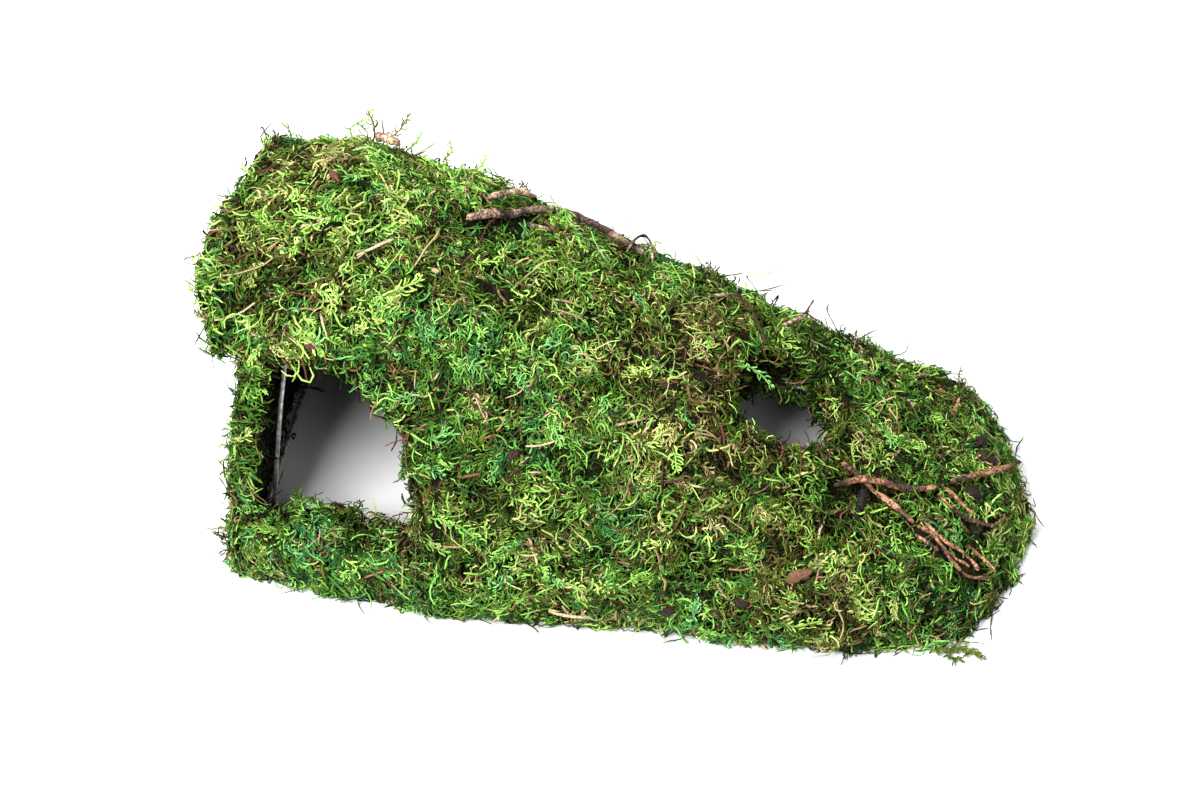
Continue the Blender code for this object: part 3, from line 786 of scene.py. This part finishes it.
def make_wood():
    """The vine and twigs: each CAD rod made round, knobbly and grooved."""
    vine = bark_material("vine_bark_grey", VINE_COLOURS)
    twig = bark_material("vine_bark_brown", TWIG_COLOURS)
    for number, name in enumerate(WOOD):
        mesh = shaped(name, frame["nodes"][name].data.copy(), (("SUBSURF", {"levels": 3}),))
        co, normal = mesh_points(mesh)
        knob = (noise(co, KNOB_SIZE, KNOB_LAYER + number) - KNOB_LEVEL) * KNOB_HEIGHT
        knob += (noise(co, RIDGE_SIZE, RIDGE_LAYER + number) - 0.5) * RIDGE_HEIGHT
        co += normal * (knob * thickness(name))[:, None]
        values = 0.5 + BARK_TONE_CHANGE * (noise(co, BARK_TONE_SIZE, BARK_TONE_LAYER) - 0.5)
        tone = mesh.attributes.new("tone", "FLOAT", "POINT")
        tone.data.foreach_set("value", values.astype(np.float32))
        stand_in(name, "_bark", mesh, co, twig if name.startswith("nose") else vine)


# Litter. Places are x in millimetres and the angle round the body from the top towards the back.
# Turns are along the surface: 0 towards +X, 90 over the roof towards the back.
# Stalks are (x, angle, turn, length, width, hue, tone, bend).
STALKS = (
    (-99, -11, 40, 17, 2.3, 0.92, 0.6, 0.15), (-101, -12, 48, 12, 1.2, 0.85, 0.55, -0.2),
    (-80, -7, 74, 24, 1.3, 0.82, 0.55, 0.3), (-61, 4, -105, 20, 1.5, 0.22, 0.55, 0.2),
    (-64, -5, -125, 13, 1.4, 0.25, 0.45, 0.1), (-104, -14, 20, 6, 1.3, 0.2, 0.5, 0.0),
    (-57, -19, 78, 11, 1.2, 0.25, 0.55, 0.2), (-90, -12, 25, 8, 2.2, 0.45, 0.35, 0.0),
    (-24, -4, 12, 13, 1.7, 0.8, 0.55, 0.1), (-23, -8, 8, 11, 1.5, 0.8, 0.6, -0.1),
    (-30, -6, -85, 6, 1.4, 0.78, 0.45, 0.2), (-10, -98, -7, 17, 1.9, 0.9, 0.65, 0.1),
    (46, 27, -52, 32, 1.4, 0.2, 0.35, -0.35), (8, -35, 22, 12, 1.8, 0.78, 0.6, 0.1),
    (-150, 4, 45, 10, 1.3, 0.22, 0.5, 0.1), (-152, -16, 35, 11, 1.4, 0.2, 0.5, 0.0),
    (-122, 2, -50, 7, 3.0, 0.35, 0.4, 0.0), (-137, -4, 80, 6, 1.3, 0.25, 0.65, 0.0),
    (-147, -18, 20, 22, 1.1, 0.82, 0.5, 0.8), (-154, -26, 15, 26, 1.3, 0.85, 0.65, 1.0),
    (30, 12, 20, 9, 1.3, 0.2, 0.45, 0.2), (33, -4, 6, 7, 1.6, 0.25, 0.6, 0.0),
    (38, -34, 5, 9, 1.1, 0.8, 0.65, 0.0), (34, -50, 18, 22, 1.5, 0.22, 0.4, 0.1),
    (96, 22, 25, 8, 1.2, 0.22, 0.5, 0.2), (100, 18, -40, 6, 1.0, 0.8, 0.6, 0.0),
    (84, -35, -55, 12, 1.8, 0.25, 0.55, 0.1), (-92, -92, 30, 9, 1.5, 0.6, 0.55, 0.1),
    (-50, -38, -60, 11, 1.1, 0.85, 0.65, 0.1), (-24, -44, 15, 16, 1.5, 0.9, 0.6, 0.3),
    (-53, -55, 10, 9, 1.6, 0.5, 0.5, 0.2), (-32, -30, 60, 8, 1.2, 0.22, 0.5, 0.1),
    (8, -58, 60, 18, 1.0, 0.75, 0.5, 0.9), (60, -78, 12, 14, 1.0, 0.72, 0.55, 0.4),
    (94, -80, 20, 12, 1.1, 0.7, 0.5, 0.2), (-62, -78, -10, 13, 1.1, 0.8, 0.6, 0.4),
)
# Chips and peat crumbs are (x, angle, turn, length, width, height, hue, tone).
CHIPS = (
    (82, -80, 25, 12, 5, 3.5, 0.6, 0.16), (102, -56, -85, 11, 4, 4, 0.0, 0.5),
    (101, -61, -95, 8, 3, 3, 0.0, 0.35), (151, 20, 10, 9, 7, 5, 0.04, 0.55),
    (147, 28, 60, 6, 5, 4, 0.02, 0.5), (148, -17, 5, 8, 5, 4, 0.03, 0.45),
    (-122, 2, -50, 6, 3, 2, 0.3, 0.45), (-94, -24, 0, 3, 2, 2, 0.75, 0.7),
    (-76, -12, 0, 3, 2, 1.5, 0.8, 0.6), (-118, -30, 20, 4, 3, 2, 0.3, 0.35),
    (20, -20, 0, 4, 3, 2, 0.05, 0.5), (-36, -48, 40, 5, 3, 2, 0.1, 0.4),
    (60, -90, -10, 7, 4, 3, 0.04, 0.45), (30, -95, 30, 6, 4, 3, 0.05, 0.4),
)
# Bright sprays are (x, angle, turn, length, curl, hue, tone, pinnae).
SPRAYS = (
    (-96, -25, 0, 14, 6.5, 0.52, 0.98, 10), (-114, -22, -20, 17, -2.6, 0.42, 0.98, 14),
    (-119, -26, -70, 9, 2.0, 0.44, 0.95, 8),
    (-85, -17, 35, 17, 0.6, 0.46, 0.95, 12), (-91, -21, 40, 11, 0.8, 0.46, 0.9, 8),
    (-58, -4, 20, 13, 0.5, 0.44, 0.95, 10), (-53, 0, 80, 10, 0.4, 0.42, 0.98, 8),
    (2, 7, -60, 13, 1.0, 0.02, 0.72, 11), (-70, -6, 10, 9, 1.0, 0.08, 0.7, 9),
    (-146, -51, 20, 14, 1.5, 0.5, 0.85, 12), (-36, 22, -55, 19, 0.4, 0.22, 0.85, 14),
    (-28, 15, -40, 12, 0.5, 0.25, 0.9, 10), (100, 20, -75, 13, 0.8, 0.26, 0.92, 10),
    (30, -30, -70, 12, 1.0, 0.03, 0.75, 9), (110, 10, -60, 14, 0.5, 0.1, 0.8, 10),
    (-30, -60, -10, 12, 1.5, 0.44, 0.9, 10), (-45, -70, 60, 10, 1.5, 0.4, 0.85, 9),
    (135, -30, -70, 16, 0.6, 0.3, 0.75, 12), (118, -70, -80, 16, 0.5, 0.42, 0.75, 12),
    (85, -95, 5, 18, 0.6, 0.44, 0.8, 12), (50, -100, 160, 14, 0.5, 0.2, 0.75, 10),
)
# Upright sprigs stand on the outline: (x, angle, lean, length, curl, hue, tone, pinnae).
# Lean is the angle from upright towards +X as seen from the front.
SPRIGS = (
    (-125, 22, 35, 20, -0.5, 0.24, 0.85, 9), (-116, 22, -12, 14, 0.6, 0.72, 0.5, 6),
    (-112, 22, 30, 17, -0.6, 0.66, 0.6, 12), (-102, 22, 40, 11, 1.0, 0.3, 0.75, 5),
    (-150, 20, -30, 9, 1.0, 0.45, 0.6, 5), (-154, 0, -40, 12, 0.6, 0.36, 0.8, 7),
    (-156, -26, -70, 14, 0.9, 0.44, 0.85, 8), (-88, 26, 20, 11, 1.4, 0.5, 0.7, 5),
    (-76, 26, 45, 12, 1.2, 0.42, 0.8, 6),
    (-50, 30, -40, 11, 0.3, 0.66, 0.3, 8), (-36, 26, -10, 7, 0.3, 0.24, 0.7, 6),
    (30, 42, -30, 11, 0.4, 0.7, 0.4, 8), (40, 44, 20, 6, 0.8, 0.4, 0.85, 4),
    (96, 58, 45, 9, 1.0, 0.45, 0.5, 4),
    (136, 55, 0, 13, 0.1, 0.66, 0.35, 3), (158, 40, 35, 7, 0.8, 0.24, 0.6, 4),
    (-156, -62, -75, 8, 1.6, 0.3, 0.75, 4), (-156, -75, -95, 7, -1.6, 0.36, 0.7, 4),
)
# A twiglet that forks, as pairs of points: millimetres along +X and up its own lean. Its place is
# (x, angle), and its widths are those at the rings of each pair.
FORKED_TWIGLET = (((0, -2), (4.2, 1.2)), ((4.2, 1.2), (6.8, 6.6)), ((4.2, 1.2), (9.2, -1.4)))
FORKED_PLACE = (63, 55)
FORKED_WIDTHS = (1.3, 1.0, 1.15, 0.9, 1.0, 1.3)
# A green strand that hangs over the roof hole from (x, angle), its length, its way and its looks.
HANGING_PLACE, HANGING_LENGTH = (43, 0), 21
HANGING_WAY = (0.95, -0.3, -0.1)
HANGING_CURL, HANGING_TONE, HANGING_HUE = -0.9, 0.8, 0.1
# Flat fronds on the ground beside the nose: (x, y, turn, length).
STRAY = ((140, -66, -5, 14), (146, -68, 8, 13), (150, -65, -20, 12), (152, -69, 20, 9),
         (144, -71, -12, 10), (138, -70, 10, 9))
STRAY_HEIGHT = 0.8
# What stands on the outline leans back over the top. Its flat side looks up to the front.
LEAN_BACK = unit(np.array([0, 0.72, 0.69]))
VIEW_SIDE = unit(np.array([0, -0.69, 0.72]))
# Litter strewn by chance: its counts, and how far from the ends and the ground it stays.
STEM_COUNT, STRAW_COUNT, RUST_COUNT = 340, 80, 70
LITTER_DENSITY, LITTER_REACH, LITTER_LOW = 0.02, 150 * MM, 4 * MM
# Stalks are drawn somewhat thinner than the table's widths. They lie this high over the moss.
STALK_SCALE, STALK_HEIGHT = 0.8, 2.4
CHIP_HEIGHT, SPRAY_HEIGHT = 2.4, 2.6
STALK_RINGS = 6
RIGHT = np.array([1.0, 0, 0])


def places(items):
    """Points, normals and headings for items that start with x, angle and turn."""
    points, normals, ways = [], [], []
    for x, angle, turn, *_ in items:
        point, normal = surface(x, angle)
        normal = np.array(normal)
        along = unit(RIGHT - normal * normal[0])
        over = np.cross(normal, along)
        points.append(np.array(point))
        normals.append(normal)
        ways.append(math.cos(math.radians(turn)) * along + math.sin(math.radians(turn)) * over)
    return np.array(points), np.array(normals), np.array(ways)


def columns(items, first):
    """The number columns of a table of items, from column first on."""
    return np.array([item[first:] for item in items], float).T


def add_stalks(strands, points, normals, ways, shapes, rng, height, sway=0.1):
    """Thin stiff stalks that lie on the moss at their middles. shapes holds their lengths, widths,
    hues, tones and bends."""
    length, width, hue, tone, bend = shapes
    base = lifted(points, normals, height) - ways * length[:, None] / 2
    zero = np.zeros(len(points))
    lift = rng.uniform(0.0, 1.2, len(points)) * MM
    paths = curve_paths(base, normals, ways, length, bend, lift, STALK_RINGS, rng, zero, sway=sway)
    widths = width[:, None] * rng.uniform(0.8, 1.1, (len(points), STALK_RINGS))
    strands.add(paths, normals, widths, tone, hue, 0.8)


def outside_points(count, rng):
    """Random places on the outside of all the moss."""
    picked = [scatter(name, LITTER_DENSITY, rng) for name in PADS]
    points, normals = (np.concatenate(part) for part in zip(*picked))
    keep = (inward(points, normals) < 0.2) & (points[:, 2] > LITTER_LOW)
    keep &= np.abs(points[:, 0]) < LITTER_REACH
    chosen = rng.choice(np.flatnonzero(keep), count, replace=False)
    return points[chosen], normals[chosen]


def strew_stalks(name, material, count, lengths, widths, hues, height, bends, rng):
    """Stalks all over the moss, with lengths, widths and hues from ranges."""
    strands = Strands()
    points, normals = outside_points(count, rng)
    ways = headings(points, normals, rng, spread=2.0, fall=0.2)
    shapes = (rng.uniform(*lengths, count) * MM, rng.uniform(*widths, count) * MM,
              rng.uniform(*hues, count), rng.normal(0.48, 0.15, count).clip(0, 1),
              rng.normal(0, bends, count))
    add_stalks(strands, points, normals, ways, shapes, rng, height, sway=0.3)
    strands.piece(name, material, "vine_bark")


def strew_rust(material, rng):
    """Rusty dead shoots that curl over the moss."""
    strands, count = Strands(), RUST_COUNT
    points, normals = outside_points(count, rng)
    ways = headings(points, normals, rng)
    base = lifted(points, normals, 0)
    length = rng.uniform(4, 11, count) * MM
    curl = rng.normal(0, 2.5, count)
    lift = rng.uniform(0.5, 2.5, count) * MM
    rise = rng.uniform(0, 0.3, count)
    paths = curve_paths(base, normals, ways, length, curl, lift, SHOOT_RINGS, rng, rise)
    widths = rng.uniform(0.7, 1.2, count)[:, None] * MM * taper(SHOOT_RINGS, 0.14)
    tone = rng.uniform(0.5, 0.9, count)
    hue = rng.uniform(0.45, 0.62, count)
    strands.add(paths, normals, widths, tone, hue)
    strands.piece("litter_rusty_shoots", material, "vine_bark")


def make_litter(material, rng):
    """Stalks, straws and thin dead stems."""
    placed = Strands()
    points, normals, ways = places(STALKS)
    length, width, hue, tone, bend = columns(STALKS, 3)
    shapes = (length * MM, width * STALK_SCALE * MM, hue, tone, bend)
    add_stalks(placed, points, normals, ways, shapes, rng, STALK_HEIGHT)
    placed.piece("litter_stalks", material, "vine_bark")
    strew_stalks("litter_stems", material, STEM_COUNT, (7, 22), (0.55, 1.1), (0.12, 0.5), 0.4, 0.8, rng)
    strew_stalks("litter_straws", material, STRAW_COUNT, (4, 12), (0.7, 1.3), (0.7, 0.95), 0.8, 0.4, rng)
    strew_rust(material, rng)


def make_chips(material):
    """Bark chips, one charred bit and peat crumbs: flattened rough lumps."""
    work = bmesh.new()
    tone_layer = work.verts.layers.float.new("tone")
    hue_layer = work.verts.layers.float.new("hue")
    points, normals, ways = places(CHIPS)
    middles = lifted(points, normals, CHIP_HEIGHT)
    for number, (item, middle, normal, way) in enumerate(zip(CHIPS, middles, normals, ways)):
        length, width, height, hue, tone = item[3:]
        lump_verts = bmesh.ops.create_icosphere(work, subdivisions=4, radius=1)["verts"]
        ball = np.array([vert.co for vert in lump_verts])
        size = np.array([length, width, height]) / 2 * MM
        rough = 0.55 + 0.55 * noise(ball * 4 * MM, 2.6, CHIP_LAYER + number)
        rough += 0.35 * noise(ball * 4 * MM, 0.9, CHIP_GRAIN_LAYER + number)
        axes = np.stack([way, np.cross(normal, way), normal])
        for vert, place in zip(lump_verts, middle + (ball * rough[:, None] * size) @ axes):
            vert.co = place
            vert[tone_layer] = tone
            vert[hue_layer] = hue
    mesh = bpy.data.meshes.new("litter_chips")
    work.to_mesh(mesh)
    work.free()
    mesh.shade_smooth()
    link("litter_chips", mesh, material)


def add_bright_sprays(strands, rng):
    """The bright sprays that lie on the moss."""
    points, normals, ways = places(SPRAYS)
    length, curl, hue, tone, pinnae = columns(SPRAYS, 3)
    base = lifted(points, normals, SPRAY_HEIGHT) - ways * (length * MM / 2)[:, None]
    for i in range(len(SPRAYS)):
        one = slice(i, i + 1)
        add_sprays(strands, base[one], normals[one], ways[one], length[one] * MM, curl[one],
                   np.array([0.12]), tone[one], hue[one], rng, pinnae=int(pinnae[i]))


def add_view_spray(strands, x, angle, way, length, curl, tone, hue, rng, **shape):
    """One spray from a place on the surface, with its flat side to the front."""
    point = np.array(surface(x, angle)[0])[None]
    add_sprays(strands, point, VIEW_SIDE[None], way[None], np.array([length * MM]),
               np.array([curl]), np.zeros(1), np.array([tone]), np.array([hue]), rng, **shape)


def add_ground_tuft(strands, rng):
    """The flat tuft on the ground beside the nose."""
    x, y, turns, length = columns(STRAY, 0)
    count = len(STRAY)
    tuft = np.stack([x, y, np.full(count, STRAY_HEIGHT)], axis=1) * MM
    turns = np.radians(turns)
    ways = np.stack([np.cos(turns), np.sin(turns), np.zeros(count)], axis=1)
    curl = rng.normal(0, 0.8, count)
    tone = rng.uniform(0.35, 0.6, count)
    hue = rng.uniform(0.35, 0.6, count)
    add_sprays(strands, tuft, np.tile([0.0, 0, 1], (count, 1)), ways, length * MM, curl,
               np.full(count, 0.05), tone, hue, rng)


def make_sprigs(rng):
    """Bright sprays on the moss, sprigs that stand on its outline, and loose odd strands."""
    strands = Strands()
    add_bright_sprays(strands, rng)
    for x, angle, lean, length, curl, hue, tone, pinnae in SPRIGS:
        turn = math.radians(lean)
        way = math.sin(turn) * RIGHT + math.cos(turn) * LEAN_BACK
        add_view_spray(strands, x, angle, way, length, curl, tone, hue, rng, pinnae=pinnae, splay=0.7)
    add_view_spray(strands, *HANGING_PLACE, unit(np.array(HANGING_WAY)), HANGING_LENGTH, HANGING_CURL,
                   HANGING_TONE, HANGING_HUE, rng, spread=0.09)
    add_ground_tuft(strands, rng)
    strands.piece("loose_sprigs", shoot_material("moss_loose"), "moss_fresh")


def make_forked_twiglet(material):
    """The dark twiglet that stands up behind the roof hole."""
    strands = Strands()
    foot = np.array(surface(*FORKED_PLACE)[0])
    widths = np.array([FORKED_WIDTHS]) * MM
    s = np.linspace(0, 1, len(FORKED_WIDTHS))[:, None]
    for ends in FORKED_TWIGLET:
        first, last = (foot + (right * RIGHT + up * LEAN_BACK) * MM for right, up in ends)
        path = (first + s * (last - first))[None]
        strands.add(path, VIEW_SIDE[None], widths, np.array([0.5]), np.array([0.2]), 1.0)
    strands.piece("forked_twiglet", material, "vine_bark")


def finish_wires():
    """The wires and threads keep their CAD shapes."""
    for names, material in ((WIRES, wire_material()), (THREADS, thread_material())):
        for name in names:
            node = frame["nodes"][name]
            node.data.materials.clear()
            node.data.materials.append(material)
            node.data.shade_smooth()


# Studio


# Lights are (name, place, size, power in watts).
LIGHTS = (("key", (-0.43, -0.94, 1.28), 0.6, 38), ("top", (-0.1, 0.25, 1.6), 1.2, 25),
          ("fill", (0.6, -1.0, 1.2), 0.6, 4), ("rim", (-1.0, 0.45, 0.8), 0.6, 8))
WORLD_STRENGTH = 0.16
FLOOR_SIZE, FLOOR_COLOUR = 8, (0.86, 0.86, 0.86, 1)


def area_light(name, place, size, power):
    lamp = bpy.data.lights.new(name, "AREA")
    lamp.size = size
    lamp.energy = power
    obj = bpy.data.objects.new(name, lamp)
    obj.location = place
    obj.rotation_euler = (Vector(place) - VIEW_AIM).to_track_quat("Z", "Y").to_euler()
    bpy.context.collection.objects.link(obj)


def place_camera():
    azimuth, elevation = math.radians(VIEW_AZIMUTH), math.radians(VIEW_ELEVATION)
    back = Vector((math.sin(azimuth) * math.cos(elevation), -math.cos(azimuth) * math.cos(elevation),
                   math.sin(elevation)))
    camera = bpy.data.cameras.new("camera")
    camera.lens, camera.sensor_width = LENS, SENSOR
    eye = bpy.data.objects.new("camera", camera)
    eye.location = VIEW_AIM + back * (VIEW_WIDTH * LENS / SENSOR)
    eye.rotation_euler = back.to_track_quat("Z", "Y").to_euler()
    bpy.context.collection.objects.link(eye)
    bpy.context.scene.camera = eye


def make_floor():
    bpy.ops.mesh.primitive_plane_add(size=FLOOR_SIZE)
    floor = bpy.context.object
    floor.name = "floor"
    material, _, shader = new_material("floor_paper", roughness=0.9, specular=0.1)
    shader.inputs["Base Color"].default_value = FLOOR_COLOUR
    floor.data.materials.append(material)


def make_studio():
    """Camera, floor and lights, with plain colours."""
    bpy.context.scene.view_settings.view_transform = "Standard"
    place_camera()
    make_floor()
    world = bpy.data.worlds.new("studio")
    bpy.context.scene.world = world
    world.use_nodes = True
    background = world.node_tree.nodes["Background"]
    background.inputs["Color"].default_value = (1, 1, 1, 1)
    background.inputs["Strength"].default_value = WORLD_STRENGTH
    for light in LIGHTS:
        area_light(*light)


make_studio()
make_moss()
make_wood()
litter = litter_material()
make_litter(litter, np.random.default_rng(LITTER_SEED))
make_chips(litter)
make_forked_twiglet(litter)
make_sprigs(np.random.default_rng(SPRIG_SEED))
finish_wires()
